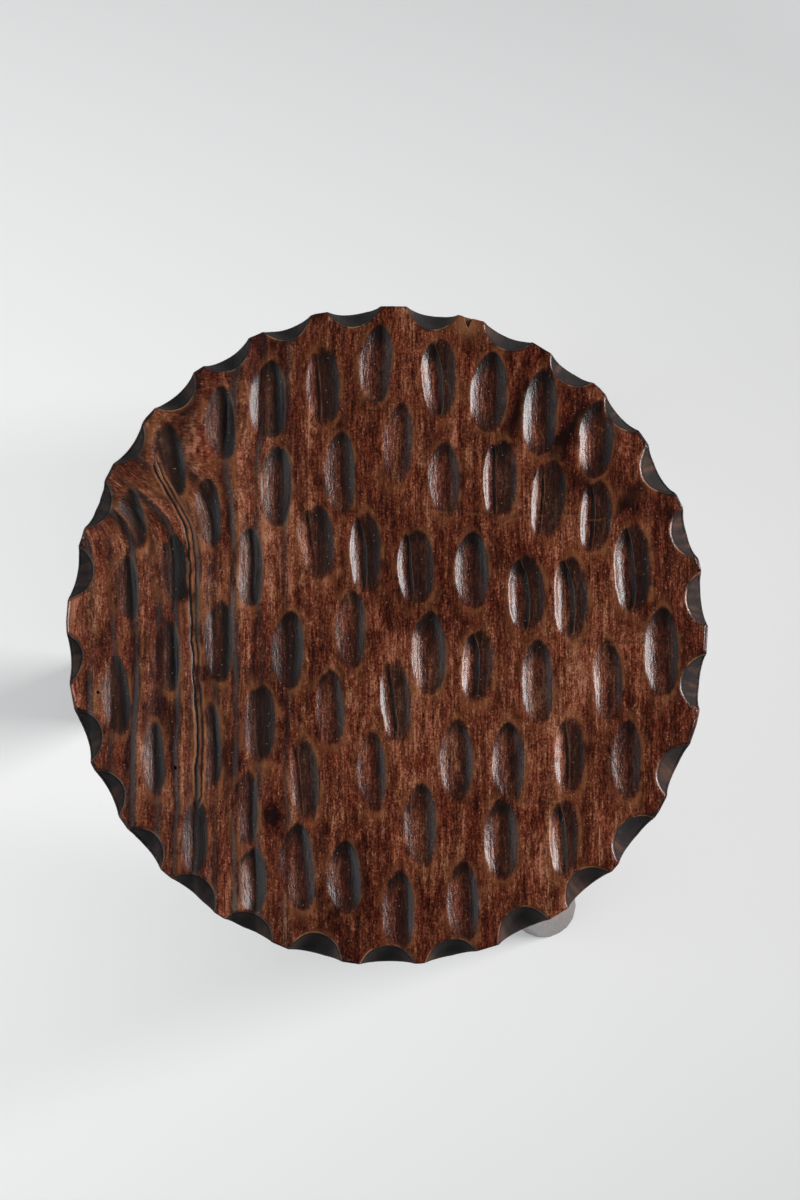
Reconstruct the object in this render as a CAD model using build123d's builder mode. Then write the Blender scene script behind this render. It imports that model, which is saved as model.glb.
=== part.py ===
from build123d import *

import math
import os

# A carved stool: a gouged slab seat on three splayed legs, each held in a blind socket by a fox wedge.
# Millimetres. The feet stand on Z = 0 and the grain of the seat runs along Y.

# Seat slab. It is longer along its grain than across it, because a slab shrinks across the grain.
STOOL_HEIGHT = 430
SEAT_WIDTH = 322
SEAT_LENGTH = 331
SEAT_THICKNESS = 40
UNDERSIDE_CHAMFER = 5
SEAT_UNDERSIDE = STOOL_HEIGHT - SEAT_THICKNESS

# The legs are unevenly spread, so the middle of the box that the stool fills is beside the seat's axis.
SEAT_AXIS_X = 31
SEAT_AXIS_Y = -7

# Legs. Each is drawknifed in flats from a riven billet, sawn level at the floor and under the seat,
# and its tenon stands in a blind socket. The spreads are from the seat's axis to the leg's own line.
# The taper gives shares of the run from the floor to the underside, and radii over the arrises; its
# first and last lie in the waste past the two saw cuts.
LEG_BEARINGS = {"front": -56, "back": 64, "left": 184}
FOOT_SPREAD = 200
SHOULDER_SPREAD = 97
LEG_RUN = math.hypot(SEAT_UNDERSIDE, FOOT_SPREAD - SHOULDER_SPREAD)
LEG_TAPER = ((-0.1, 23.4), (0.3, 24.5), (0.6, 24), (0.85, 22), (1.1, 20))
LEG_FLATS = 16
FOOT_CHAMFER = 2
TENON_RADIUS = 16
TENON_LENGTH = 28
GLUE_GAP = 0.05

# Fox wedges. The butt meets the floor of the socket and drives the wedge into the tenon's kerf,
# which lies across the seat's grain, so that the tenon spreads along the grain and can't split it.
WEDGE_WIDTH = 28
WEDGE_LENGTH = 20
WEDGE_BUTT = 5
WEDGE_TIP = 1.2
WEDGE_FACE = [
    (-WEDGE_BUTT / 2, 0),
    (-WEDGE_TIP / 2, -WEDGE_LENGTH),
    (WEDGE_TIP / 2, -WEDGE_LENGTH),
    (WEDGE_BUTT / 2, 0),
]
KERF_BELOW_WEDGE = 2

# Gouge strokes on the top: place from the seat's axis across and along the grain, length, width,
# and how many degrees the far end leans towards +X. One gouge makes them all, and it is stoned in
# narrow flats round its curved edge, which it leaves along every hollow. The two outer flats stand
# partly out of the wood, so that no arris of the bit only grazes the top face.
GOUGE_RADIUS = 14
GOUGE_FLATS = 5
FLATS_IN_WOOD = 4.5
STROKE_OVERSWING = 1.6
GOUGE_STROKES = [
    (-111, 86, 41, 17, -8),
    (-85, 105, 39, 16.5, -6),
    (-61, 117, 42, 18, 0),
    (-33, 124, 40, 17.5, 0),
    (-6, 135, 42, 17, 5),
    (26, 128, 42, 18, 0),
    (51, 121, 42, 18, 4),
    (77, 111, 44, 18, 5),
    (105, 97, 42, 17.5, 6),
    (-129, 56, 33, 14, -10),
    (-91, 60, 38, 15, -5),
    (-57, 73, 41, 18, 0),
    (-24, 80, 44, 16.5, 0),
    (5, 95, 43, 15.5, 3),
    (28, 77, 39, 16, 0),
    (57, 77, 40, 17, 3),
    (81, 67, 42, 16.5, 6),
    (105, 58, 37, 16, 6),
    (-132, 22, 35, 14, -6),
    (-108, 31, 36, 17, -8),
    (-71, 32, 40, 17, -2),
    (-36, 45, 39, 18, -4),
    (-11, 39, 43, 15.5, -2),
    (14, 32, 39, 18, 0),
    (42, 31, 40, 17.5, 0),
    (70, 19, 41, 18, 0),
    (92, 17, 43, 17.5, 0),
    (123, 32, 47, 18.5, 1),
    (-111, -12, 38, 14, -3),
    (-85, -5, 44, 15.5, 0),
    (-50, -9, 40, 16.5, 0),
    (-19, 1, 41, 15.5, 1),
    (20, -11, 43, 18, 0),
    (45, -17, 38, 16, 4),
    (75, -25, 43, 17, 0),
    (110, -25, 42, 15.5, 0),
    (137, -10, 46, 17, 0),
    (-136, -32, 42, 15, -5),
    (-89, -57, 45, 13, -2),
    (-64, -46, 40, 16.5, 0),
    (-29, -38, 40, 15, -2),
    (4, -35, 44, 15, -3),
    (-117, -64, 38, 13, -2),
    (-42, -74, 42, 16, -4),
    (-8, -70, 41, 15, -3),
    (34, -64, 42, 16.5, 0),
    (60, -65, 41, 16.5, 0),
    (91, -62, 40, 15, 0),
    (119, -64, 41, 15.5, 0),
    (-96, -102, 40, 14.5, 0),
    (-71, -88, 38, 13.5, 0),
    (-68, -123, 33, 16, 0),
    (-45, -117, 45, 17.5, -4),
    (-22, -122, 37, 17.5, -2),
    (16, -96, 43, 16.5, 0),
    (56, -103, 42, 17.5, 0),
    (88, -103, 41, 15, 0),
    (5, -138, 39, 16.5, 0),
    (37, -134, 42, 16.5, -2),
]

# Scallops round the rim: bearing in degrees, and how far each bites into the top face.
# A slightly wider gouge is driven down and outwards, and leaves the side wall below the top.
RIM_GOUGE_RADIUS = 15
RIM_GOUGE_SLANT = 33
RIM_GOUGE_TRAVEL = 70
RIM_SCALLOPS = [
    (6, 11),
    (18, 11),
    (30.5, 12),
    (43, 8),
    (55, 9.5),
    (68, 10.5),
    (82, 10.5),
    (96, 10.5),
    (108, 9.5),
    (120, 11),
    (131.5, 10),
    (144, 8),
    (156.5, 10),
    (169.5, 11),
    (184.5, 9),
    (199, 11.5),
    (210, 9.5),
    (222, 10),
    (233.5, 11.5),
    (245, 10.5),
    (257.5, 12),
    (270, 10.5),
    (281, 10),
    (294.5, 13.5),
    (308, 12),
    (320, 12),
    (334.5, 11.5),
    (351, 12.5),
]

os.makedirs("parts", exist_ok=True)

seat_axis = Vector(SEAT_AXIS_X, SEAT_AXIS_Y, 0)


def outwards(bearing):
    """The level direction from the seat's axis at this bearing."""
    angle = math.radians(bearing)
    return Vector(math.cos(angle), math.sin(angle), 0)


def rim_radius(bearing):
    """How far the slab's edge is from its axis at this bearing."""
    out = outwards(bearing)
    return 1 / math.hypot(out.X / (SEAT_WIDTH / 2), out.Y / (SEAT_LENGTH / 2))


def leg_plane(bearing):
    """A leg's own plane: its origin is the middle of the foot, Z runs up the leg, X across the grain."""
    foot = seat_axis + outwards(bearing) * FOOT_SPREAD
    shoulder = seat_axis + outwards(bearing) * SHOULDER_SPREAD + Vector(0, 0, SEAT_UNDERSIDE)
    up_leg = (shoulder - foot).normalized()
    return Plane(origin=foot, x_dir=Vector(0, 1, 0).cross(up_leg), z_dir=up_leg)


def gouge_stroke(across, along, length, width, lean):
    """The wood under one stroke: the bit swings down into the seat and up again."""
    half_arc = math.asin(width / 2 / GOUGE_RADIUS)
    depth = GOUGE_RADIUS * (1 - math.cos(half_arc))
    swing_radius = ((length / 2) ** 2 + depth**2) / (2 * depth)
    swing = STROKE_OVERSWING * math.degrees(math.asin(length / 2 / swing_radius))
    flat_arc = 2 * half_arc / FLATS_IN_WOOD
    arcs = [flat_arc * (i - GOUGE_FLATS / 2) for i in range(GOUGE_FLATS + 1)]
    bit_middle = swing_radius - GOUGE_RADIUS
    edge = [(GOUGE_RADIUS * math.sin(a), -bit_middle - GOUGE_RADIUS * math.cos(a)) for a in arcs]
    with BuildPart() as stroke:
        with BuildSketch(Plane.XZ.rotated((-swing, 0, 0))):
            Polygon(*edge, align=None)
        revolve(axis=Axis.X, revolution_arc=2 * swing)
    elbow = seat_axis + Vector(across, along, STOOL_HEIGHT + swing_radius - depth)
    return stroke.part.moved(Location(elbow, (0, 0, -lean)))


def rim_scallop(bearing, bite):
    """The wood under one cut of the rim: the bit driven straight down and outwards."""
    slant = math.radians(RIM_GOUGE_SLANT)
    out, up = outwards(bearing), Vector(0, 0, 1)
    bit = out * math.cos(slant) + up * math.sin(slant)
    start = seat_axis + out * (rim_radius(bearing) - bite) + up * STOOL_HEIGHT
    travel = out * math.sin(slant) - up * math.cos(slant)
    with BuildPart() as scallop:
        with BuildSketch(Plane(origin=start + bit * RIM_GOUGE_RADIUS, z_dir=travel)):
            Circle(RIM_GOUGE_RADIUS)
        extrude(amount=RIM_GOUGE_TRAVEL, both=True)
    return scallop.part


# Seat: one slab, sawn oval, gouged over the top and round the rim, with three blind sockets below.
strokes = [gouge_stroke(*stroke) for stroke in GOUGE_STROKES]
scallops = [rim_scallop(*scallop) for scallop in RIM_SCALLOPS]
with BuildPart() as seat:
    with BuildSketch(Plane(origin=seat_axis + Vector(0, 0, SEAT_UNDERSIDE))):
        Ellipse(SEAT_WIDTH / 2, SEAT_LENGTH / 2)
    extrude(amount=SEAT_THICKNESS)
    chamfer(seat.edges().group_by(Axis.Z)[0], length=UNDERSIDE_CHAMFER)
    add(scallops, mode=Mode.SUBTRACT)
    add(strokes, mode=Mode.SUBTRACT)
    for bearing in LEG_BEARINGS.values():
        with BuildSketch(leg_plane(bearing).offset(LEG_RUN)):
            Circle(TENON_RADIUS + GLUE_GAP)
        extrude(amount=TENON_LENGTH, both=True, mode=Mode.SUBTRACT)
seat.part.label = "seat"
export_step(seat.part, "parts/seat.step")


def wedge_plane(bearing):
    """Through the middle of the tenon's end: Y up the leg, and Z across the grain of the seat."""
    line = leg_plane(bearing)
    tenon_end = line.origin + line.z_dir * (LEG_RUN + TENON_LENGTH)
    return Plane(origin=tenon_end, x_dir=line.y_dir, z_dir=line.x_dir)


def leg(bearing):
    """One leg: a shaved pole with a flat foot, a level shoulder and a kerfed tenon."""
    line = leg_plane(bearing)
    with BuildPart() as shaved:
        for share, radius in LEG_TAPER:
            with BuildSketch(line.offset(share * LEG_RUN)):
                RegularPolygon(radius, LEG_FLATS)
        loft(ruled=True)
        split(bisect_by=Plane.XY, keep=Keep.TOP)
        split(bisect_by=Plane.XY.offset(SEAT_UNDERSIDE), keep=Keep.BOTTOM)
        chamfer(shaved.edges().group_by(Axis.Z)[0], length=FOOT_CHAMFER)
        with BuildSketch(line.offset(LEG_RUN - TENON_LENGTH)):
            Circle(TENON_RADIUS)
        extrude(amount=2 * TENON_LENGTH)
        with BuildSketch(wedge_plane(bearing)):
            Polygon(*WEDGE_FACE, align=None)
            with Locations((0, -WEDGE_LENGTH)):
                Rectangle(WEDGE_TIP, 2 * KERF_BELOW_WEDGE)
        extrude(amount=TENON_RADIUS, both=True, mode=Mode.SUBTRACT)
    return shaved.part


def wedge(bearing):
    """One fox wedge, split from dry wood, as it sits when it is driven home."""
    with BuildPart() as split_off:
        with BuildSketch(wedge_plane(bearing)):
            Polygon(*WEDGE_FACE, align=None)
        extrude(amount=WEDGE_WIDTH / 2, both=True)
    return split_off.part


# Legs and wedges: the same make three times over, each in its own socket.
for place, bearing in LEG_BEARINGS.items():
    for piece, kind in ((leg(bearing), "leg"), (wedge(bearing), "wedge")):
        piece.label = f"{kind}_{place}"
        export_step(piece, f"parts/{piece.label}.step")
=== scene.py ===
import math
from functools import partialmethod

import bpy
import numpy as np
from mathutils import Matrix, Vector


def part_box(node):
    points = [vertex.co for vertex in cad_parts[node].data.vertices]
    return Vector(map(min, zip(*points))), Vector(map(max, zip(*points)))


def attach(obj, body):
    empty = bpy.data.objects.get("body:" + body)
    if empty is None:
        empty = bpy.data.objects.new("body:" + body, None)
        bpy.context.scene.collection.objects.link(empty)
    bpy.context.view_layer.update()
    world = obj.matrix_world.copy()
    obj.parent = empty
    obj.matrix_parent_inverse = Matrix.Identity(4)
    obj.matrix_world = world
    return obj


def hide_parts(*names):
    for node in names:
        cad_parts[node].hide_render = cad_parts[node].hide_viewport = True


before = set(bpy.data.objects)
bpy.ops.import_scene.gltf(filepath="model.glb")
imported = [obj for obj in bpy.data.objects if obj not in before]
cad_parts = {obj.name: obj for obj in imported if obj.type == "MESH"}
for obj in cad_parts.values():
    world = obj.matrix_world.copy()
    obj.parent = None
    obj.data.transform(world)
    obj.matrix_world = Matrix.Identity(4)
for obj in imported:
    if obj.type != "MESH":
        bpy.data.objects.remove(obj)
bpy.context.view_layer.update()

# The seat: one thick softwood slab, sawn to an oval that has shrunk across its grain, which runs
# along Y. A round gouge hollowed the top in short strokes along the grain, and a wider one was
# driven down and outwards round the rim. Lengths are metres unless a name says otherwise.
MM = 0.001
seat_low, seat_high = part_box("seat")
SEAT_AXIS = (seat_low + seat_high) / 2
SEAT_TOP = seat_high.z
SEAT_UNDERSIDE = seat_low.z
SEAT_THICKNESS = SEAT_TOP - SEAT_UNDERSIDE
TOP_MIDDLE = Vector((SEAT_AXIS.x, SEAT_AXIS.y, SEAT_TOP))
HALF_WIDTH = (seat_high.x - seat_low.x) / 2
HALF_LENGTH = (seat_high.y - seat_low.y) / 2
GOUGE_RADIUS = 14 * MM
RIM_GOUGE_RADIUS = 15 * MM
RIM_GOUGE_SLANT = math.radians(33)

# Strokes: place from the seat's axis across and along the grain, length and width in millimetres, and
# the degrees by which the far end leans towards +X. Where a hollow took two cuts, side by side, the
# last number is the share of its width at which they meet.
STROKES = [
    (-111, 86, 41, 17, -8, 0.55), (-85, 105, 39, 16.5, -6), (-61, 117, 42, 18, 0),
    (-33, 124, 40, 17.5, 0, 0.5), (-6, 135, 42, 17, 5), (26, 128, 42, 18, 0, 0.62),
    (51, 121, 42, 18, 4), (77, 111, 44, 18, 5), (105, 97, 42, 17.5, 6), (-129, 56, 33, 14, -10),
    (-91, 60, 38, 15, -5), (-57, 73, 41, 18, 0), (-24, 80, 44, 16.5, 0), (5, 95, 43, 15.5, 3),
    (28, 77, 39, 16, 0), (57, 77, 40, 17, 3, 0.42), (81, 67, 42, 16.5, 6, 0.4),
    (105, 58, 37, 16, 6, 0.5), (-132, 22, 35, 14, -6), (-108, 31, 36, 17, -8, 0.5),
    (-71, 32, 40, 17, -2), (-36, 45, 39, 18, -4, 0.5), (-11, 39, 43, 15.5, -2, 0.55),
    (14, 32, 39, 18, 0, 0.42), (42, 31, 40, 17.5, 0), (70, 19, 41, 18, 0, 0.6),
    (92, 17, 43, 17.5, 0, 0.62), (123, 32, 47, 18.5, 1, 0.6), (-111, -12, 38, 14, -3),
    (-85, -5, 44, 15.5, 0), (-50, -9, 40, 16.5, 0), (-19, 1, 41, 15.5, 1), (20, -11, 43, 18, 0),
    (45, -17, 38, 16, 4, 0.58), (75, -25, 43, 17, 0), (110, -25, 42, 15.5, 0), (137, -10, 46, 17, 0),
    (-136, -32, 42, 15, -5), (-89, -57, 45, 13, -2), (-64, -46, 40, 16.5, 0, 0.5),
    (-29, -38, 40, 15, -2), (4, -35, 44, 15, -3, 0.5), (-117, -64, 38, 13, -2),
    (-42, -74, 42, 16, -4, 0.5), (-8, -70, 41, 15, -3), (34, -64, 42, 16.5, 0), (60, -65, 41, 16.5, 0),
    (91, -62, 40, 15, 0, 0.52), (119, -64, 41, 15.5, 0), (-96, -102, 40, 14.5, 0),
    (-71, -88, 38, 13.5, 0), (-68, -123, 33, 16, 0), (-45, -117, 45, 17.5, -4),
    (-22, -122, 37, 17.5, -2), (16, -96, 43, 16.5, 0), (56, -103, 42, 17.5, 0),
    (88, -103, 41, 15, 0, 0.62), (5, -138, 39, 16.5, 0), (37, -134, 42, 16.5, -2),
]

# Scallops: bearing in degrees, and how far each bites into the top in millimetres.
SCALLOPS = [
    (6, 11), (18, 11), (30.5, 12), (43, 8), (55, 9.5), (68, 10.5), (82, 10.5), (96, 10.5),
    (108, 9.5), (120, 11), (131.5, 10), (144, 8), (156.5, 10), (169.5, 11), (184.5, 9),
    (199, 11.5), (210, 9.5), (222, 10), (233.5, 11.5), (245, 10.5), (257.5, 12), (270, 10.5),
    (281, 10), (294.5, 13.5), (308, 12), (320, 12), (334.5, 11.5), (351, 12.5),
]

# The slab's own edges: the top one is rounded, and the lower one has a chamfer, whose two corners are
# softened by rows of points at these distances from them.
EDGE_ROUNDING = 1 * MM
ROUNDING_DEGREES = (25, 50, 75, 90)
CHAMFER = 5 * MM
BEFORE_CORNER = 0.6 * MM
PAST_CORNER = 0.3 * MM
CORNER_INSET = 0.25 * MM
INNERMOST_ROW = CHAMFER + 3 * MM

# The slab's mesh is a grid drawn out to the oval, so that no point is a pole. It is finer across the
# strokes than along them, and finer in the band that the scallops take.
INNER_STEPS = (168, 84)
RIM_STEPS = 15
RIM_BAND = 0.092
WALL_ROWS = 7
WALL_FLATS = 46
FLAT_UNEVENNESS = 0.3


def sawn_outline(bearings):
    """The slab's edge: short flats left by a spokeshave, with their corners on the oval."""
    draw = np.random.default_rng(4)
    shift = draw.uniform(-FLAT_UNEVENNESS, FLAT_UNEVENNESS, WALL_FLATS)
    corners = np.sort(np.arange(WALL_FLATS) + shift) * math.tau / WALL_FLATS
    x = np.interp(bearings, corners, HALF_WIDTH * np.cos(corners), period=math.tau)
    y = np.interp(bearings, corners, HALF_LENGTH * np.sin(corners), period=math.tau)
    return x, y


def new_mesh(name, points, faces):
    """A mesh of these points and faces."""
    mesh = bpy.data.meshes.new(name)
    mesh.from_pydata(points, [], faces)
    return mesh


def put_on(mesh, values):
    """Keeps numbers on a mesh's points, each row of them under its name."""
    for label, numbers in values.items():
        mesh.attributes.new(label, "FLOAT", "POINT").data.foreach_set("value", numbers)


def slab():
    """The uncarved seat. Its attribute share is how far each point sinks with the top it stands under."""
    reaches = []
    for steps in INNER_STEPS:
        inner = np.linspace(0, 1 - RIM_BAND, steps + 1)
        reach = np.concatenate((inner, np.linspace(1 - RIM_BAND, 1, RIM_STEPS + 1)[1:]))
        reaches.append(np.concatenate((-reach[:0:-1], reach)))
    across, along = np.meshgrid(*reaches)
    wide = np.abs(across) > np.abs(along)
    major = np.where(wide, across, along)
    minor = np.where(wide, along, across)
    turn = np.pi / 4 * minor / np.where(major == 0, 1, major)
    bearing = np.where(wide, turn, np.pi / 2 - turn) + np.where(major < 0, np.pi, 0)
    edge_x, edge_y = sawn_outline(bearing.ravel() % math.tau)
    top = np.column_stack((edge_x, edge_y)) * np.abs(major).reshape(-1, 1)

    number = np.arange(across.size).reshape(across.shape)
    quads = np.stack((number[:-1, :-1], number[:-1, 1:], number[1:, 1:], number[1:, :-1]), -1)
    loop = np.concatenate((number[0, :-1], number[:-1, -1], number[-1, :0:-1], number[:0:-1, 0]))

    # Rows down the rim: how far in from the edge, how far above the underside, and the share.
    rows = []
    for turned in np.radians(ROUNDING_DEGREES):
        fall = EDGE_ROUNDING * (1 - math.cos(turned))
        rows.append((EDGE_ROUNDING * (1 - math.sin(turned)), SEAT_THICKNESS - fall, 1))
    low, high = CHAMFER + BEFORE_CORNER, SEAT_THICKNESS - EDGE_ROUNDING
    for part in np.linspace(1, 0, WALL_ROWS + 1)[1:]:
        rows.append((0, low + part * (high - low), part))
    rows += [(CORNER_INSET, CHAMFER - PAST_CORNER, 0), (CHAMFER - PAST_CORNER, CORNER_INSET, 0)]
    rows += [(CHAMFER + BEFORE_CORNER, 0, 0), (INNERMOST_ROW, 0, 0)]

    edge = top[loop]
    inwards = -edge / np.linalg.norm(edge, axis=1)[:, None]
    top[loop] += inwards * EDGE_ROUNDING
    points = [np.column_stack((top, np.full(len(top), SEAT_THICKNESS)))]
    shares = [np.ones(len(top))]
    faces = quads.reshape(-1, 4).tolist()
    above = loop
    for inset, height, part in rows:
        below = sum(map(len, points)) + np.arange(len(loop))
        points.append(np.column_stack((edge + inwards * inset, np.full(len(loop), height))))
        shares.append(np.full(len(loop), part))
        faces += np.stack((above, below, np.roll(below, -1), np.roll(above, -1)), -1).tolist()
        above = below
    faces.append(above[::-1].tolist())

    mesh = new_mesh("slab", np.vstack(points) + (SEAT_AXIS.x, SEAT_AXIS.y, SEAT_UNDERSIDE), faces)
    put_on(mesh, {"share": np.concatenate(shares)})
    return mesh


class Field:
    """An output in a node tree. Arithmetic with a number adds Math nodes to that tree."""

    def __init__(self, socket):
        self.socket = socket

    def math(self, operation, *others):
        inputs = enumerate((self, *others))
        return made(self.socket.id_data, "ShaderNodeMath", inputs, operation=operation)

    def __rsub__(self, other):
        return self * -1 + other

    def squared(self):
        return self * self

    def root(self):
        return self.math("SQRT")

    def between(self, low, high):
        """0 below low and 1 above high, and smooth between them. low may be the larger."""
        tree = self.socket.id_data
        inputs = {"Value": self, "From Min": low, "From Max": high}
        return made(tree, "ShaderNodeMapRange", inputs, "Result", interpolation_type="SMOOTHSTEP")

    __add__ = __radd__ = partialmethod(math, "ADD")
    __mul__ = __rmul__ = partialmethod(math, "MULTIPLY")
    __sub__ = partialmethod(math, "SUBTRACT")
    __truediv__ = partialmethod(math, "DIVIDE")


def feed(socket, value):
    """Gives an input a link where the value is a socket or a Field, and otherwise the plain value."""
    value = getattr(value, "socket", value)
    if isinstance(value, bpy.types.NodeSocket):
        socket.id_data.links.new(value, socket)
    else:
        socket.default_value = value


def add_node(tree, kind, inputs=(), **settings):
    """A node of this kind, with its settings and its inputs given by name."""
    node = tree.nodes.new(kind)
    for name, value in settings.items():
        setattr(node, name, value)
    for name, value in dict(inputs).items():
        feed(node.inputs[name], value)
    return node


def made(tree, kind, inputs=(), output=0, **settings):
    """One output of a new node, the first unless another is named."""
    return Field(add_node(tree, kind, inputs, **settings).outputs[output])


def noise(tree, vector, scale, detail=2.0, **inputs):
    """Smooth noise round 0, from about -1 to 1."""
    inputs = {"Vector": vector, "Scale": scale, "Detail": detail, **inputs}
    return made(tree, "ShaderNodeTexNoise", inputs) * 4 - 2


def split(tree, vector):
    """The three numbers of a vector."""
    node = add_node(tree, "ShaderNodeSeparateXYZ", {"Vector": vector})
    return [Field(output) for output in node.outputs]


def join(tree, *numbers):
    """A vector of three numbers."""
    return made(tree, "ShaderNodeCombineXYZ", zip("XYZ", numbers))


def vectors(tree, operation, *values, output="Vector", **named):
    """What one step of arithmetic makes of vectors."""
    inputs = {**dict(enumerate(values)), **named}
    return made(tree, "ShaderNodeVectorMath", inputs, output, operation=operation)


def geometry_tree(name, inputs):
    """A tree that takes and gives geometry, with these named inputs, and what they give."""
    tree = bpy.data.node_groups.new(name, "GeometryNodeTree")
    tree.interface.new_socket("Geometry", in_out="OUTPUT", socket_type="NodeSocketGeometry")
    for label, kind in {"Geometry": "Geometry", **inputs}.items():
        tree.interface.new_socket(label, in_out="INPUT", socket_type="NodeSocket" + kind)
    sockets = tree.nodes.new("NodeGroupInput").outputs
    return tree, {socket.name: Field(socket) for socket in sockets}


def finish_tree(tree, geometry, material):
    """Ends a tree: instances made real, smooth faces and the finish."""
    real = made(tree, "GeometryNodeRealizeInstances", {"Geometry": geometry})
    smooth = made(tree, "GeometryNodeSetShadeSmooth", {"Geometry": real})
    dressed = made(tree, "GeometryNodeSetMaterial", {"Geometry": smooth, "Material": material})
    feed(tree.nodes.new("NodeGroupOutput").inputs[0], dressed)


def add_object(name, data):
    """A new object in the scene."""
    thing = bpy.data.objects.new(name, data)
    bpy.context.scene.collection.objects.link(thing)
    return thing


def bake(name, mesh, tree, values):
    """A piece made by running the tree on a mesh, kept as a plain mesh."""
    piece = add_object(name, mesh)
    modifier = piece.modifiers.new(tree.name, "NODES")
    modifier.node_group = tree
    for item in tree.interface.items_tree:
        if item.name in values:
            modifier[item.identifier] = values[item.name]
    depsgraph = bpy.context.evaluated_depsgraph_get()
    baked = bpy.data.meshes.new_from_object(
        piece.evaluated_get(depsgraph), preserve_all_data_layers=True, depsgraph=depsgraph
    )
    piece.modifiers.clear()
    piece.data = baked
    return piece


def store(tree, geometry, values, kind="FLOAT"):
    """Keeps values on every point of the geometry, one after another, each under its name."""
    for name, value in values.items():
        inputs = {"Geometry": geometry, "Name": name, "Value": value}
        geometry = made(tree, "GeometryNodeStoreNamedAttribute", inputs, data_type=kind)
    return geometry


def stored(tree, name, kind="FLOAT"):
    """The value kept on the points under this name."""
    return made(tree, "GeometryNodeInputNamedAttribute", {"Name": name}, data_type=kind)


def stored_vector(tree, name):
    """The vector kept on the points under this name."""
    return stored(tree, name, "FLOAT_VECTOR")


def cut_points(name, places, sizes):
    """One loose point for each cut, with the cut's sizes on it."""
    mesh = new_mesh(name, places, [])
    put_on(mesh, sizes)
    return add_object(name, mesh)


# A stroke narrows towards both ends, more at the far one where the gouge leaves the wood, but never to
# less than a share of itself, and its ends are blunter the higher the power.
END_TAPER = 0.12
FAR_TAPER = 0.4
LEAST_TAPER = 0.3
BLUNTNESS = 2.4


def stroke_depth(at, size, inputs):
    """How deep a swung gouge cuts below the top, less than 0 outside the cut, and the place in the cut."""
    lean = size("lean")
    cosine, sine = lean.math("COSINE"), lean.math("SINE")
    across = at[0] * cosine - at[1] * sine
    along = at[0] * sine + at[1] * cosine
    half = size("length") / 2
    far = along / half
    pointing = (1 - far.squared() * (far * FAR_TAPER + END_TAPER)).math("MAXIMUM", LEAST_TAPER)
    side = across / size("width") * 2
    heeled = (1 - side.squared()).math("MAXIMUM", 0.0) * size("width") * size("heel")
    across = (across - heeled) / pointing.root()
    blunt = far.math("ABSOLUTE").math("POWER", BLUNTNESS) * half.squared()
    radius = size("radius")
    deepest = radius - (radius.squared() - (size("width") / 2).squared()).root()
    swing = (half.squared() + deepest.squared()) / (deepest * 2)
    edge = swing - radius + (radius.squared() - across.squared()).root()
    return (edge.squared() - blunt).root() - (swing - deepest), side, far


def scallop_depth(at, size, inputs):
    """How deep a gouge driven down and outwards cuts below the top, and the place in the cut."""
    bearing = size("bearing")
    cosine, sine = bearing.math("COSINE"), bearing.math("SINE")
    outwards = at[0] * cosine + at[1] * sine
    sideways = at[1] * cosine - at[0] * sine
    radius, slant = inputs["Rim gouge radius"], inputs["Rim gouge slant"]
    rise = radius - (radius.squared() - sideways.squared()).root()
    return outwards / slant.math("TANGENT") - rise / slant.math("SINE"), sideways, outwards


def repeated(tree, times, geometry, step):
    """Runs a step on the geometry a number of times, and tells it how often it has run."""
    first = tree.nodes.new("GeometryNodeRepeatInput")
    last = tree.nodes.new("GeometryNodeRepeatOutput")
    first.pair_with_output(last)
    feed(first.inputs["Iterations"], times)
    feed(first.inputs["Geometry"], geometry)
    feed(last.inputs["Geometry"], step(first.outputs["Geometry"], Field(first.outputs["Iteration"])))
    return last.outputs["Geometry"]


def each_point(tree, points, geometry, step):
    """Runs a step on the geometry once for each loose point, and gives it a way to read that point."""
    there = made(tree, "GeometryNodeObjectInfo", {"Object": points}, "Geometry")
    count = made(tree, "GeometryNodeAttributeDomainSize", {"Geometry": there}, "Point Count")

    def at_point(geometry, number):
        def read(value, kind="FLOAT"):
            inputs = {"Geometry": there, "Value": value, "Index": number}
            return made(tree, "GeometryNodeSampleIndex", inputs, data_type=kind)

        return step(geometry, read)

    return repeated(tree, count, geometry, at_point)


def choose(tree, switch, no, yes, kind="FLOAT"):
    """One of two values, by a switch."""
    choices = {"Switch": switch, "False": no, "True": yes}
    return made(tree, "GeometryNodeSwitch", choices, input_type=kind)


# The depth kept where no cut comes near, and how thick the varnish lies in the first and the second of
# two cuts, from 0 to 1. Only a second cut is thick enough to count as past an arris.
NO_CUT = -10 * MM
FIRST_VARNISH = 0
SECOND_VARNISH = 1


def carve(tree, inputs, geometry, cuts, depth_of, keep_as):
    """Takes the cuts in turn. Keeps how deep the deepest is, where in it a point lies, and how far past
    the arris between a first and a second cut it is."""

    def cut(geometry, read):
        middle = read(made(tree, "GeometryNodeInputPosition"), "FLOAT_VECTOR")
        at = [a - b for a, b in zip(split(tree, stored_vector(tree, "hand")), split(tree, middle))]
        depth, across, along = depth_of(at, lambda name: read(stored(tree, name)), inputs)
        before = stored(tree, keep_as)
        deeper = depth.math("GREATER_THAN", before)
        varnish = read(stored(tree, "varnish"))
        place = join(tree, across, along, varnish)
        place = choose(tree, deeper, stored_vector(tree, keep_as + "_place"), place, "VECTOR")
        past = depth - before.math("MAXIMUM", 0.0) - varnish.math("LESS_THAN", SECOND_VARNISH - 0.01)
        past = stored(tree, "past_arris").math("MAXIMUM", past)
        geometry = store(tree, geometry, {"past_arris": past})
        geometry = store(tree, geometry, {keep_as + "_place": place}, "FLOAT_VECTOR")
        return store(tree, geometry, {keep_as: before.math("SMOOTH_MAX", depth, inputs["Arris"])})

    return each_point(tree, inputs[cuts], geometry, cut)


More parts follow.
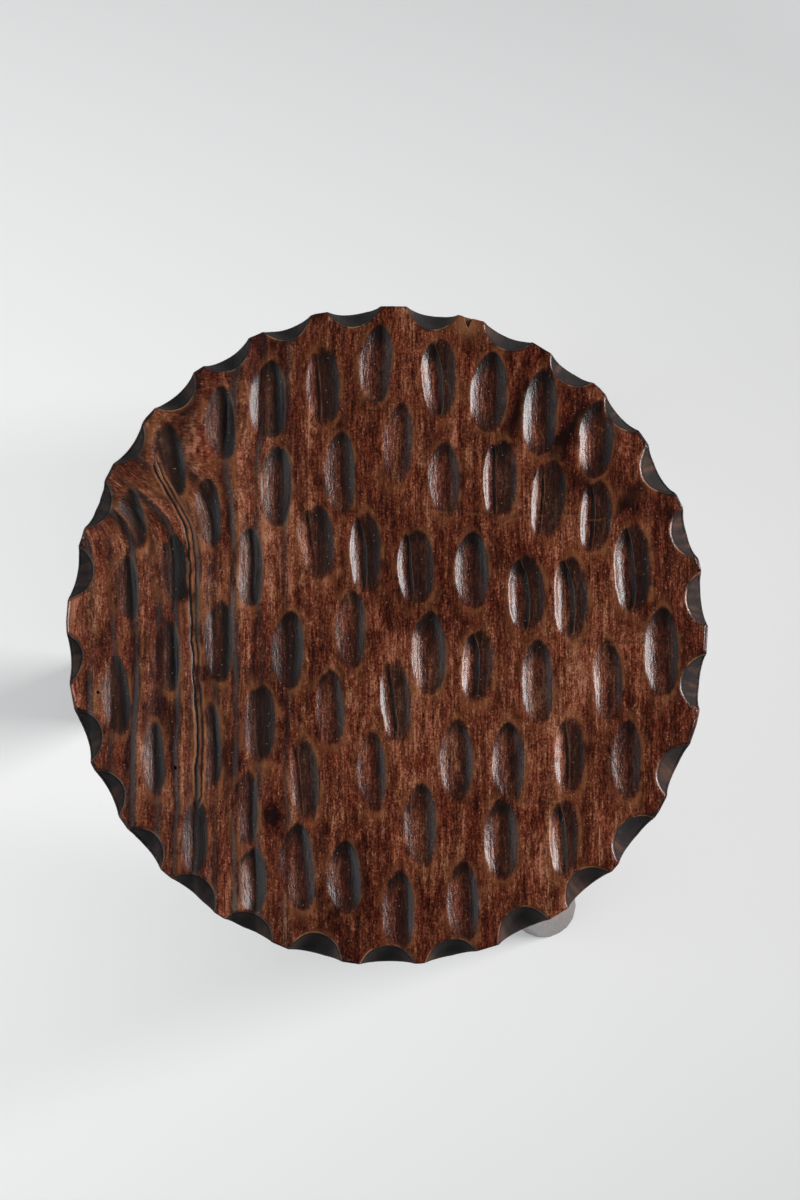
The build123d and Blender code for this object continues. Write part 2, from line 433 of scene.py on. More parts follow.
# The swirl at the far left: from where up the grain the fibres lean, for how far, and how strongly.
SWIRL_START = 50 * MM
SWIRL_START_SOFTNESS = 20 * MM
SWIRL_LENGTH = 32 * MM
SWIRL_END_SOFTNESS = 15 * MM
SWIRL_SIDE = (-65 * MM, -145 * MM)
SWIRL_LEAN = 1.1
KNOT = (-57 * MM, -92 * MM)
KNOT_RADIUS = 4.5 * MM
KNOT_PARTING = 0.7


def fibre_lines(tree, place):
    """Where a point lies among the seat's fibres, which lean out at the far left and part round a knot."""
    x, y, z = split(tree, place)
    turned = (y - SWIRL_START).math("SMOOTH_MAX", 0.0, SWIRL_START_SOFTNESS)
    turned = turned.math("SMOOTH_MIN", SWIRL_LENGTH, SWIRL_END_SOFTNESS)
    lean = turned * x.between(*SWIRL_SIDE) * SWIRL_LEAN
    from_knot = x - KNOT[0]
    reach = (from_knot.squared() + (y - KNOT[1]).squared()).math("MAXIMUM", KNOT_RADIUS**2)
    parting = from_knot * KNOT_RADIUS**2 * KNOT_PARTING / reach
    return join(tree, x + lean - parting, y, z)


# The rings lie slanted in the slab and wander. A worn ridge is steep on its left and long on its right.
RING_SLANT = 0.7
STEEP_LEFT = (-4.4 * MM, -0.1 * MM)
LONG_RIGHT = (0.3 * MM, 9 * MM)
LEAST_HEIGHT = 0.25


def raise_ridges(tree, inputs, geometry, grain):
    """Keeps how high the late wood stands, and how far a point lies from the nearest ridge's crest."""
    x, y, z = split(tree, grain)
    slow = join(tree, x, y * 0.7, z)
    across = x - z * RING_SLANT + noise(tree, slow, 14, 3.0) * 3 * MM
    across = across + noise(tree, slow, 60, 2.0) * 0.7 * MM

    def ridge(geometry, read):
        crest = split(tree, read(made(tree, "GeometryNodeInputPosition"), "FLOAT_VECTOR"))[0]
        swell = noise(tree, join(tree, crest * 5, y, z), 17, 2.0).between(-0.8, 0.4)
        height = read(stored(tree, "height")) * (swell * (1 - LEAST_HEIGHT) + LEAST_HEIGHT)
        off = across - crest
        rise = off.between(*STEEP_LEFT) * (1 - off.between(*LONG_RIGHT)) * height
        nearer = off.math("ABSOLUTE").math("LESS_THAN", stored(tree, "off_ridge").math("ABSOLUTE"))
        values = {"relief": stored(tree, "relief").math("MAXIMUM", rise)}
        for label, value in {"ridge": height, "off_ridge": off}.items():
            values[label] = choose(tree, nearer, stored(tree, label), value)
        return store(tree, geometry, values)

    return each_point(tree, inputs["Ridges"], geometry, ridge)


def mark_end_grain(tree, geometry, fibres):
    """Keeps how squarely the surface cuts across the fibres, from 0 to 1."""
    normal = made(tree, "GeometryNodeInputNormal")
    facing = vectors(tree, "DOT_PRODUCT", normal, fibres, output="Value")
    return store(tree, geometry, {"end_grain": facing.math("ABSOLUTE")})


def hollowed(tree, geometry, cutter):
    """The geometry less another object's solid."""
    solid = made(tree, "GeometryNodeObjectInfo", {"Object": cutter}, "Geometry")
    inputs = {"Mesh 1": geometry, "Mesh 2": solid}
    return made(tree, "GeometryNodeMeshBoolean", inputs, operation="DIFFERENCE", solver="EXACT")


# The top is most worn at the left, and the hollows' right edges are most rubbed at the right.
WORN_FROM_TO = (-25 * MM, -85 * MM)
LEAST_WEAR = 0.1
RUBBED_FROM_TO = (-60 * MM, 20 * MM)
SCALLOP_ARRIS = 4


def carving_tree():
    """Turns the slab into the carved seat."""
    takes = dict.fromkeys(("Strokes", "Scallops", "Ridges", "Openings"), "Object")
    takes |= dict.fromkeys(("Rim gouge radius", "Rim gouge slant"), "Float")
    takes |= dict.fromkeys(("Arris", "Unsteadiness", "Relief"), "Float")
    tree, inputs = geometry_tree("carve_seat", takes | {"Axis": "Vector", "Wood": "Material"})
    position = made(tree, "GeometryNodeInputPosition")
    shake = {"Vector": position, "Scale": 45, "Detail": 2.0}
    shake = vectors(tree, "SUBTRACT", made(tree, "ShaderNodeTexNoise", shake, "Color"), (0.5, 0.5, 0.5))
    shake = vectors(tree, "SCALE", shake, Scale=inputs["Unsteadiness"])
    starts = {"hand": vectors(tree, "ADD", position, shake), "hollow_place": (0, 0, 0)}
    starts["scallop_place"] = (0, 0, 0)
    geometry = store(tree, inputs["Geometry"], starts, "FLOAT_VECTOR")
    starts = {"past_arris": -1.0, "relief": 0.0, "ridge": 0.0, "off_ridge": 1.0}
    geometry = store(tree, geometry, {**starts, "hollow": NO_CUT, "scallop": NO_CUT})
    geometry = carve(tree, inputs, geometry, "Strokes", stroke_depth, "hollow")
    geometry = carve(tree, inputs, geometry, "Scallops", scallop_depth, "scallop")

    # The late wood of every ring stands proud of the early wood, which wears.
    from_axis = vectors(tree, "SUBTRACT", position, inputs["Axis"])
    grain = fibre_lines(tree, from_axis)
    geometry = raise_ridges(tree, inputs, geometry, grain)
    across = split(tree, from_axis)[0]
    wear = across.between(*WORN_FROM_TO) * (1 - LEAST_WEAR) + LEAST_WEAR
    worn = inputs["Relief"] * (1 - stored(tree, "relief")) * wear
    arris = inputs["Arris"]
    side = split(tree, stored_vector(tree, "hollow_place"))[0]
    rubbed = side.between(0.0, 0.8) * across.between(*RUBBED_FROM_TO) * 2 + 1
    hollow = stored(tree, "hollow").math("SMOOTH_MAX", 0.0, arris * rubbed)
    scallop = stored(tree, "scallop").math("SMOOTH_MAX", 0.0, arris * SCALLOP_ARRIS)
    sink = (hollow.math("SMOOTH_MAX", scallop, arris) + worn) * stored(tree, "share")
    lower = join(tree, 0.0, 0.0, sink * -1)
    carved = made(tree, "GeometryNodeSetPosition", {"Geometry": geometry, "Offset": lower})
    carved = hollowed(tree, carved, inputs["Openings"])
    carved = store(tree, carved, {"grain": grain}, "FLOAT_VECTOR")
    finish_tree(tree, mark_end_grain(tree, carved, (0, 1, 0)), inputs["Wood"])
    return tree


# The stain from its darkest to where it is rubbed thin, by tone.
STAIN_TONES = [
    (0.12, (0.011, 0.0022, 0.0012)),
    (0.32, (0.036, 0.0072, 0.0032)),
    (0.44, (0.068, 0.0155, 0.0062)),
    (0.56, (0.108, 0.0305, 0.0125)),
    (0.7, (0.185, 0.066, 0.028)),
    (0.92, (0.36, 0.18, 0.095)),
]

# Its colour where it lies thick, where painted shade darkens it, and where wear has taken it off.
THICK_VARNISH_AND_SHADE = (0.018, 0.007, 0.0048)
SHADED_WALL = (0.007, 0.0055, 0.005)
CUT_FIBRES_AND_SHADE = (0.006, 0.0035, 0.003)
SHADED_ARC_LINE = (0.003, 0.002, 0.002)
SHADED_STEEP_SIDE = (0.012, 0.0052, 0.004)
RUBBED_LATE_WOOD = (0.23, 0.086, 0.034)
RUBBED_ARRIS = (0.2, 0.09, 0.05)
RUBBED_HALO = (0.19, 0.066, 0.024)
RUBBED_BRINK = (0.22, 0.08, 0.03)
SCALLOP_STAIN = (0.004, 0.003, 0.0028)
SCALLOP_STREAK = (0.07, 0.03, 0.018)
SCALLOP_SHADE_LINE = (0.004, 0.0025, 0.002)
RUBBED_POINT = (0.17, 0.055, 0.021)
RUBBED_RIM = (0.27, 0.11, 0.05)
CHIPPED = (0.25, 0.1, 0.042)
DUST = (0.34, 0.24, 0.18)
TORN_FIBRES = (0.27, 0.105, 0.043)
CRACK_BOTTOM = (0.004, 0.002, 0.002)
TIDE_SHADOW = (0.02, 0.006, 0.003)
TIDE_EDGE = (0.2, 0.07, 0.028)
KNOT_HEART = (0.005, 0.0028, 0.0022)


def new_material(name):
    """A material, its node tree and its shader."""
    material = bpy.data.materials.new(name)
    material.use_nodes = True
    return material, material.node_tree, material.node_tree.nodes["Principled BSDF"]


def stained_wood(name):
    """Softwood under a red-brown stain and a satin varnish, which reads its pattern from its grain."""
    material, tree, shader = new_material(name)

    def kept(attribute, output="Fac"):
        return made(tree, "ShaderNodeAttribute", output=output, attribute_name=attribute)

    def mixed(factor, first, second):
        node = add_node(tree, "ShaderNodeMix", data_type="RGBA", clamp_factor=True)
        feed(node.inputs["Factor"], factor)
        for number, paint in ((6, first), (7, second)):
            feed(node.inputs[number], (*paint, 1) if isinstance(paint, tuple) else paint)
        return node.outputs[2]

    def near(value, middle, reach):
        """1 where a length is at the middle, and 0 from the reach on, both in millimetres."""
        reach = reach * MM
        return (value - middle * MM).math("ABSOLUTE").between(reach, reach * 0.2)

    grain = kept("grain", "Vector")
    x, y, z = split(tree, grain)

    def drawn(length, scale, detail, **inputs):
        """Noise drawn out along the grain: the smaller this number, the longer its spots."""
        return noise(tree, join(tree, x, y * length, z), scale, detail, **inputs)

    # The underside is one large face, so what its corners on the rim keep is left off it.
    above_base = z.between(0.3 * MM - SEAT_THICKNESS, 1.5 * MM - SEAT_THICKNESS)
    hollow = (kept("hollow") - NO_CUT) * above_base + NO_CUT
    scallop = (kept("scallop") - NO_CUT) * above_base + NO_CUT
    side, far, varnish = split(tree, kept("hollow_place", "Vector"))
    end_grain = kept("end_grain") * above_base
    inside = hollow.between(0.1 * MM, 1.1 * MM)
    # the left of the seat: more worn, and given more painted shade in its hollows
    worn_and_shaded_side = x.between(10 * MM, -110 * MM)

    # Stain sits in the pores, so its streaks run along the grain.
    combed = drawn(0.06, 420, 5.0)
    fibres = drawn(0.18, 1000, 3.0)
    broad = drawn(0.3, 110, 3.0)
    mottle = drawn(0.42, 170, 6.0, Roughness=0.68)
    clouds = drawn(0.6, 16, 3.0)
    grit = drawn(0.75, 1250, 2.0)
    seams = drawn(0.03, 90, 1.0).math("ABSOLUTE")
    seam = (1 - seams.between(0.0, 0.07)) * mottle.between(-0.5, 0.6)
    flecks = drawn(0.3, 800, 4.0).between(0.55, 1.0) * broad.between(-1.0, 0.3)
    pores = drawn(0.16, 1100, 3.0).between(0.5, 0.95)
    threads = drawn(0.035, 640, 1.0).between(0.6, 1.1) * clouds.between(-0.5, 0.4)
    tone = combed * 0.16 + fibres * 0.2 + grit * 0.23 + broad * 0.12 + mottle * 0.23 + clouds * 0.22
    tone = tone + flecks * 0.35 + threads * 0.25 - pores * 0.28 - seam * 0.2 + 0.51
    tone = tone + worn_and_shaded_side * (kept("relief") * 0.3 - 0.1)
    ramp = add_node(tree, "ShaderNodeValToRGB", {"Fac": tone - kept("stain") * (mottle * 0.15 + 0.45)})
    stops = ramp.color_ramp.elements
    for place, _ in STAIN_TONES[1:-1]:
        stops.new(place)
    for stop, (place, color) in zip(stops, STAIN_TONES):
        stop.position = place
        stop.color = (*color, 1)
    rust = drawn(0.3, 130, 6.0, Roughness=0.7)
    redder = join(tree, 1.03, 0.86 - rust * 0.3, 0.93 - rust * 0.28)
    color = vectors(tree, "MULTIPLY", ramp.outputs[0], redder)

    # Late wood is rubbed pale along its crest, and its steep left side below the crest is darkened as
    # painted shade.
    patchy = noise(tree, grain, 90, 6.0).between(-0.4, 0.5)
    late = kept("ridge") * worn_and_shaded_side * above_base
    off_ridge = kept("off_ridge")
    # painted shade on the steep left side of each ridge
    steep = off_ridge.between(-5 * MM, -2.4 * MM) * off_ridge.between(0.3 * MM, -1.2 * MM)
    color = mixed(late * steep * (0.65 - broad * 0.25), color, SHADED_STEEP_SIDE)
    crest = late * near(off_ridge, 0.6, 1.3) * patchy
    color = mixed(crest * 0.8, color, RUBBED_LATE_WOOD)

    # The varnish is thick and dark in the hollows, and painted shade darkens them more on their right
    # walls, on the left of the seat, over the second of two cuts and along a dark line by the arris. The
    # gouge cut across the fibres at their ends, which are darker as cut end grain and as painted shade,
    # most at the far end.
    # painted shade: the hollows darker on their right walls and on the left of the seat, over varnish lying
    # thick in them
    shade = side.between(-0.5, 0.3) * 0.25 + varnish * 0.25 + worn_and_shaded_side * 0.3 + 0.1
    color = mixed(hollow.between(0.0, 0.9 * MM) * shade, color, THICK_VARNISH_AND_SHADE)
    past_arris = kept("past_arris")
    second = past_arris.between(-0.1 * MM, 0.3 * MM)
    # painted shade: the right walls of the hollows and the second of two cuts made dark
    wall = side.between(0.05 - worn_and_shaded_side * 0.15, 0.75 - worn_and_shaded_side * 0.25) * (worn_and_shaded_side * 0.5 + 0.27)
    color = mixed(inside * wall.math("MAXIMUM", second * 0.42), color, SHADED_WALL)
    # cut end grain is darker, with painted shade added, most at the far end of each stroke
    cut_across_and_shade = end_grain.between(0.06, 0.26) * (far.between(-0.6, 0.6) * 0.5 + 0.4)
    color = mixed(cut_across_and_shade, color, CUT_FIBRES_AND_SHADE)
    # painted shade: a dark line on the steep wall beside the arris between two cuts
    arc = inside * near(past_arris, -0.6, 0.6) * side.between(0.0, 0.3)
    color = mixed(arc * 0.9, color, SHADED_ARC_LINE)

    # It is rubbed through in patches on the arris between two cuts and round every hollow.
    arris = inside * near(past_arris, 0.1, 0.22) * (0.7 - worn_and_shaded_side * 0.6)
    color = mixed(arris * (patchy * 0.7 + 0.3), color, RUBBED_ARRIS)
    halo = hollow.between(-3.5 * MM, -0.4 * MM) * hollow.between(0.3 * MM, -0.1 * MM)
    color = mixed(halo * patchy * 0.3, color, RUBBED_HALO)
    brink = near(hollow, -0.3, 0.8) * (side.between(-0.3, 0.9) * 0.8 + 0.2)
    color = mixed(brink * (patchy * 0.6 + 0.05), color, RUBBED_BRINK)

    # The scallops are nearly black, with the gouge's marks down them where they cut along the fibres,
    # and a dark line of painted shade just under their top edge. The points of the rim between them are
    # rubbed.
    sideways, outwards, cut_varnish = split(tree, kept("scallop_place", "Vector"))
    chatter = noise(tree, join(tree, sideways, outwards * 0.22, cut_varnish), 230, 4.0)
    side_grain = 1 - end_grain.between(0.35, 0.8)
    streaks = chatter.between(-0.4, 0.9) * (side_grain * 0.8 + 0.1)
    in_scallop = scallop.between(0.3 * MM, 1.2 * MM)
    color = mixed(scallop.between(-5 * MM, -0.4 * MM) * patchy * 0.4, color, RUBBED_POINT)
    color = mixed(in_scallop * 0.92, color, mixed(streaks, SCALLOP_STAIN, SCALLOP_STREAK))
    # painted shade: a dark band just inside the top edge of each scallop
    color = mixed(near(scallop, 1.4, 1.1) * 0.8, color, SCALLOP_SHADE_LINE)
    rim = near(scallop, -0.2, 0.9) * (patchy - combed * 0.3).between(0.35, 0.9)
    color = mixed(rim * 0.85, color, RUBBED_RIM)
    color = mixed(kept("pale"), color, CHIPPED)
    specks = {"Vector": grain, "Scale": 170.0}
    specks = add_node(tree, "ShaderNodeTexVoronoi", specks, voronoi_dimensions="2D")
    few = split(tree, specks.outputs["Color"])[0].between(0.6, 0.7)
    dust = Field(specks.outputs["Distance"]).between(0.06, 0.03) * few * (1 - in_scallop)
    color = mixed(dust * 0.6, color, DUST)

    # The long crack with its torn edge, and the tide lines where a coat of varnish stopped, each with a
    # band of painted shadow just above it.
    off_crack = kept("off_crack") + noise(tree, grain, 120, 4.0) * 0.6 * MM
    crack = near(off_crack + combed * 0.3 * MM, 0.0, 1.1)
    crack = crack.math("MAXIMUM", near(off_crack, 2.6, 0.7) * broad.between(-0.7, 0.2))
    torn = near(off_crack, 1.4, 1.1).math("MAXIMUM", near(off_crack, -1.2, 1))
    torn = torn.math("MAXIMUM", near(off_crack, 4, 1))
    color = mixed(torn * above_base * (patchy * 0.8 + combed * 0.25), color, TORN_FIBRES)
    color = mixed(crack * above_base * 0.97, color, CRACK_BOTTOM)
    off_tide = kept("off_tide") + noise(tree, grain, 130, 4.0) * MM
    # painted shadow: a dark band just above each tide line
    shadow_above_tide = off_tide.between(0.0, 0.4 * MM) * (1 - off_tide.between(0.6 * MM, 4 * MM))
    color = mixed(shadow_above_tide * 0.35, color, TIDE_SHADOW)
    color = mixed(near(off_tide, -0.6, 0.9) * patchy * 0.4, color, TIDE_EDGE)
    knot = (kept("stain") + broad * 0.25).between(0.75, 1.3)
    feed(shader.inputs["Base Color"], mixed(knot, color, KNOT_HEART))

    # The varnish is duller where the top is worn, and thinnest in the scallops.
    dull = inside * 0.02 + worn_and_shaded_side * (0.12 - inside * 0.02) + in_scallop * 0.65
    feed(shader.inputs["Roughness"], 0.27 + dull + fibres * 0.05)
    for label, value in {"Coat Weight": 0.05, "Coat Roughness": 0.12, "IOR": 1.38}.items():
        shader.inputs[label].default_value = value

    rough = drawn(0.4, 900, 3.0)
    height = combed * (inside * 0.03 + 0.03) + fibres * 0.02 + grit * 0.008
    height = height + rough * (inside * 0.04 + 0.01) + in_scallop * chatter * 0.05 - crack * 0.15
    bump = {"Height": height, "Distance": MM, "Strength": 1.0}
    feed(shader.inputs["Normal"], made(tree, "ShaderNodeBump", bump))
    return material


wood = stained_wood("stained_seat")

# Where a hollow took two cuts, the first is narrower, shorter and leans less, and reaches a little
# past the arris. The bits' radii go by their cuts' widths. A gouge that heels over cuts deepest to one
# side. A pair of rows gives places across the seat in millimetres, and the values there.
OVERLAP = 0.06
FIRST_LENGTH = 0.93
FIRST_SETBACK = 1
FIRST_LEAN = -3
FIRST_ROUNDNESS = (-65, -10), (0.9, 0.58)
SECOND_ROUNDNESS = 1.15
HEEL = (-110, -20, 60), (0.16, 0.08, 0.04)
ONE_CUT_VARNISH = (0.15, 0.85)

draw = np.random.default_rng(8)
passes = []
for x, y, length, width, lean, *meeting in STROKES:
    if meeting:
        narrow = (meeting[0] + OVERLAP) * width
        radius = narrow * np.interp(x, *FIRST_ROUNDNESS)
        first = (x - (width - narrow) / 2, y - FIRST_SETBACK, length * FIRST_LENGTH, narrow)
        passes.append((*first, lean + FIRST_LEAN, radius, FIRST_VARNISH))
        passes.append((x, y, length, width, lean, width * SECOND_ROUNDNESS, SECOND_VARNISH))
    else:
        passes.append((x, y, length, width, lean, GOUGE_RADIUS / MM, draw.uniform(*ONE_CUT_VARNISH)))
x, y, length, width, lean, radius, varnish = np.transpose(passes)
places = np.column_stack((SEAT_AXIS.x + x * MM, SEAT_AXIS.y + y * MM, x * 0))
sizes = {"length": length * MM, "width": width * MM, "radius": radius * MM, "varnish": varnish}
sizes |= {"lean": np.radians(lean), "heel": np.interp(x, *HEEL)}
strokes = cut_points("strokes", places, sizes)

bearings, bites = np.transpose(SCALLOPS)
bearings = np.radians(bearings)
cosines, sines = np.cos(bearings), np.sin(bearings)
starts = 1 / np.hypot(cosines / HALF_WIDTH, sines / HALF_LENGTH) - bites * MM
places = np.column_stack((SEAT_AXIS.x + starts * cosines, SEAT_AXIS.y + starts * sines, starts * 0))
sizes = {"bearing": bearings, "varnish": draw.uniform(0, 1, len(bearings))}
scallops = cut_points("scallops", places, sizes)

# Ridges of late wood: where each crest lies across the grain, in millimetres from the seat's axis, and
# its height as a share of the greatest.
RIDGES = [
    (-157, 0.8), (-146, 0.7), (-135, 0.5), (-124, 0.95), (-113, 0.55), (-104, 0.8), (-93, 0.9),
    (-84, 0.5), (-74, 1.0), (-62, 0.9), (-48, 0.8), (-41, 0.5), (-31, 0.6), (-21, 0.8), (-10, 0.6),
    (2, 0.9), (13, 0.6), (22, 0.8), (34, 0.6), (46, 0.9), (57, 0.7), (67, 0.9), (80, 0.6), (91, 0.9),
    (103, 0.7), (114, 0.9), (126, 0.6), (138, 0.9), (150, 0.7),
]
ridges = [(x * MM, 0, 0) for x, _ in RIDGES]
ridges = cut_points("ridges", ridges, {"height": [height for _, height in RIDGES]})

# Where the legs stand: their bearings from the seat's axis, and how far out they are at the floor and
# under the seat. Each tenon has its own blind socket in the slab.
LEG_BEARINGS = {"front": -56, "back": 64, "left": 184}
FOOT_SPREAD = 200 * MM
SHOULDER_SPREAD = 97 * MM
TENON_RADIUS = 16 * MM
TENON_LENGTH = 28 * MM
GLUE_GAP = 0.05 * MM


def leg_line(bearing):
    """The middle of a leg's foot, and the directions across it, along it and up it."""
    outwards = Vector((math.cos(math.radians(bearing)), math.sin(math.radians(bearing)), 0))
    foot = Vector((SEAT_AXIS.x, SEAT_AXIS.y, 0)) + outwards * FOOT_SPREAD
    shoulder = Vector((SEAT_AXIS.x, SEAT_AXIS.y, SEAT_UNDERSIDE)) + outwards * SHOULDER_SPREAD
    up_leg = (shoulder - foot).normalized()
    across = Vector((0, 1, 0)).cross(up_leg).normalized()
    return foot, across, up_leg.cross(across), up_leg


def prism(name, outlines, travels):
    """Solids, each an outline and the same outline moved on."""
    points, faces = [], []
    for outline, travel in zip(outlines, travels):
        first, count = len(points), len(outline)
        points += list(outline) + [point + travel for point in outline]
        near = [first + i for i in range(count)]
        far = [i + count for i in near]
        faces += [near[::-1], far]
        faces += [[near[i - 1], near[i], far[i], far[i - 1]] for i in range(count)]
    return add_object(name, new_mesh(name, points, faces))


# Worm holes and a chip out of the rim, in millimetres from the seat's axis.
WORM_HOLES = [(-144.5, -30.7), (-105.6, -68.2)]
WORM_HOLE_RADIUS = 0.8
WORM_HOLE_DEPTH = 5 * MM
CHIP = [(40.5, 153.5), (38, 161), (44, 161)]
CHIP_DEPTH = 2.5 * MM
UP = Vector((0, 0, 1))


def seat_place(x, y):
    """A point of the seat's top from its place in millimetres from the seat's axis."""
    return Vector((SEAT_AXIS.x + x * MM, SEAT_AXIS.y + y * MM, SEAT_TOP))


def circle(corners, radius):
    """The corners of a round outline about its middle."""
    turns = [math.tau * i / corners for i in range(corners)]
    return [(radius * math.cos(turn), radius * math.sin(turn)) for turn in turns]


# The solids that are cut away. Those of the sockets start half a tenon's length under the seat.
outlines, travels = [], []
for bearing in LEG_BEARINGS.values():
    foot, across, along, up_leg = leg_line(bearing)
    start = foot + up_leg * (SEAT_UNDERSIDE / up_leg.z - TENON_LENGTH / 2)
    outlines.append([start + across * x + along * y for x, y in circle(64, TENON_RADIUS + GLUE_GAP)])
    travels.append(up_leg * TENON_LENGTH * 1.5)
for hole_x, hole_y in WORM_HOLES:
    bore = [seat_place(hole_x + x, hole_y + y) for x, y in circle(12, WORM_HOLE_RADIUS)]
    outlines.append([point - WORM_HOLE_DEPTH * UP for point in bore])
    travels.append(2 * WORM_HOLE_DEPTH * UP)
outlines.append([seat_place(*corner) - CHIP_DEPTH * UP for corner in CHIP[::-1]])
travels.append(2 * WORM_HOLE_DEPTH * UP)
openings = prism("openings", outlines, travels)

cutters = {"Strokes": strokes, "Scallops": scallops, "Ridges": ridges, "Openings": openings}
sizes = {"Rim gouge radius": RIM_GOUGE_RADIUS, "Rim gouge slant": RIM_GOUGE_SLANT, "Axis": TOP_MIDDLE}
sizes |= {"Arris": 0.4 * MM, "Unsteadiness": 3.2 * MM, "Relief": 2.1 * MM}
seat = bake("carved_seat", slab(), carving_tree(), cutters | sizes | {"Wood": wood})
for cutter in cutters.values():
    bpy.data.objects.remove(cutter)

# Marks of age, in millimetres from the seat's axis: the long crack on the left, dark streaks where a
# mop of stain ran across the grain, the knot, and pale places where the surface is chipped or rubbed.
CRACK = [
    (-118.4, 83), (-108.4, 65.6), (-101.9, 54.6), (-99.2, 38), (-98.6, 8), (-96.9, -22), (-95.4, -42),
    (-94.4, -57), (-95.4, -72), (-94.9, -82),
]
STAINS = [
    ((71, 123), (57, 91), 3.5, 0.8), ((100, 113), (84, 90), 4, 1), ((129, 75), (116, 61), 3, 0.8),
    ((-57, -92), (-57, -92), 4.2, 1.3), ((-4, 155), (-4, 150), 3, 0.8),
]
TIDE_LINES = [
    [(-124, 67), (-109, 66.5)],
    [(19, 61), (32, 60.5), (48, 59), (56.5, 54.5), (64, 56.5), (69, 59.5), (107, 57)],
    [(94, -6), (137, -6.5)],
    [(67, -86), (82, -87)],
]
PALE = [((40.5, 156), 6.5), ((-144.5, -30.7), 2.4), ((-24.5, 30), 1.8), ((-11, 120.5), 1.6)]
PALENESS = 0.8
CRACK_OVERRUN = 8
CRACK_SMOOTHING = 15
FAR_AWAY = 50.0
spots = np.empty(len(seat.data.vertices) * 3)
seat.data.vertices.foreach_get("co", spots)
spots = (spots.reshape(-1, 3)[:, :2] - SEAT_AXIS[:2]) / MM
crack_x, crack_y = np.array(CRACK[::-1]).T
steps = np.arange(crack_y[0] - CRACK_OVERRUN, crack_y[-1] + CRACK_OVERRUN)
average = np.full(CRACK_SMOOTHING, 1 / CRACK_SMOOTHING)
bend = np.convolve(np.interp(steps, crack_y, crack_x), average, "valid")
cut_off = CRACK_SMOOTHING // 2


def off_line(along, aside, line, ends, fading):
    """How far to one side of a line points lie, which grows past its ends."""
    off = aside - np.interp(along, *line)
    beyond = np.maximum(ends[0] - along, along - ends[-1]).clip(0)
    return np.sign(off) * (np.abs(off) + beyond * fading)


def smeared(smears):
    """How strongly points are marked by smears, each given by its two ends, width and strength."""
    most = np.zeros(len(spots))
    for start, end, width, strength in smears:
        line = np.subtract(end, start)
        share = np.clip((spots - start) @ line / max(line @ line, 1), 0, 1)
        away = np.linalg.norm(spots - start - share[:, None] * line, axis=1)
        most = np.maximum(most, strength * np.exp(-((away / width) ** 2)))
    return most


off_crack = off_line(*spots.T[::-1], (steps[cut_off:-cut_off], bend), crack_y, 0.5)
off_tide = np.full(len(spots), FAR_AWAY)
for line in map(np.transpose, TIDE_LINES):
    off = off_line(*spots.T, line, line[0], 1)
    off_tide = np.where(np.abs(off) < np.abs(off_tide), off, off_tide)
pale = smeared((middle, middle, radius, PALENESS) for middle, radius in PALE)
marks = {"off_crack": off_crack * MM, "off_tide": off_tide * MM, "stain": smeared(STAINS), "pale": pale}
put_on(seat.data, marks)
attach(seat, "root")
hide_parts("seat")

# Legs: three poles of the same softwood, shaved with a drawknife, each with a level foot, a level
# shoulder, and a tenon kerfed for its fox wedge. The taper gives the radius in millimetres at shares of
# the way up the leg, and the wood is darker towards the foot.
LEG_TAPER = (-0.1, 0.3, 0.6, 0.85, 1.1), (23.4, 24.5, 24, 22, 20)
FOOT_DARKENING = (0, 90 * MM), (0.7, 0)
LEG_COLUMNS = 112
LEG_ROWS = 78
FOOT_EASING = 2 * MM
FIRST_ROW = 6 * MM
KERF = [(-2.6, 1), (-0.6, -20), (-0.6, -22), (0.6, -22), (0.6, -20), (2.6, 1)]


